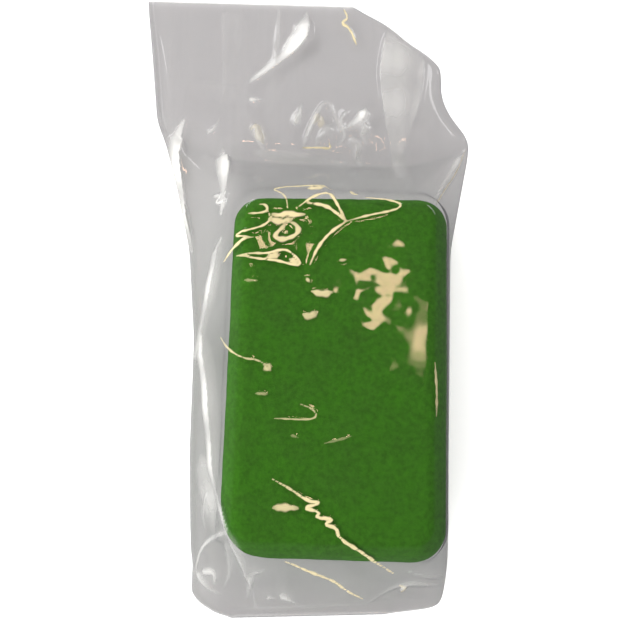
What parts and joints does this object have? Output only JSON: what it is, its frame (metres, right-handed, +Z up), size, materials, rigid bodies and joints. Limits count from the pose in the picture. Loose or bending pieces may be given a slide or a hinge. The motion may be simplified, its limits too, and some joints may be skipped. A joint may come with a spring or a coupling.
{
  "type": "floral foam brick",
  "caption": "Rounded green floral foam brick lying in a loose clear film bag with an open flat neck; the brick slides out of the mouth.",
  "frame": {"origin": "centre of the pack's underside, on the surface that it lies on", "axes": "+X across the pack, +Y along it towards the bag's open mouth, +Z up out of the brick's top face"},
  "size_m": [0.173, 0.324, 0.0374],
  "materials": {
    "foam": "matte",
    "film": "gloss"
  },
  "bodies": {
    "bag": {"back_film": "film", "front_film": "film", "left_side_film": "film", "right_side_film": "film", "bottom_end_film": "film", "bottom_weld": "film", "shoulder_film": "film"},
    "neck": {"neck_back_film": "film", "neck_front_film": "film"},
    "brick": {"foam_brick": "foam"}
  },
  "joints": [
    {"name": "brick_slide", "type": "slide", "parent": "bag", "child": "brick", "axis": [0, 1, 0], "range_m": [0, 0.305], "deforming": ["shoulder_film", "neck_front_film"]},
    {"name": "neck_fold", "type": "hinge", "parent": "bag", "child": "neck", "pos_m": [0, 0.072, 0.0002], "axis": [1, 0, 0], "range_deg": [0, 100]}
  ]
}
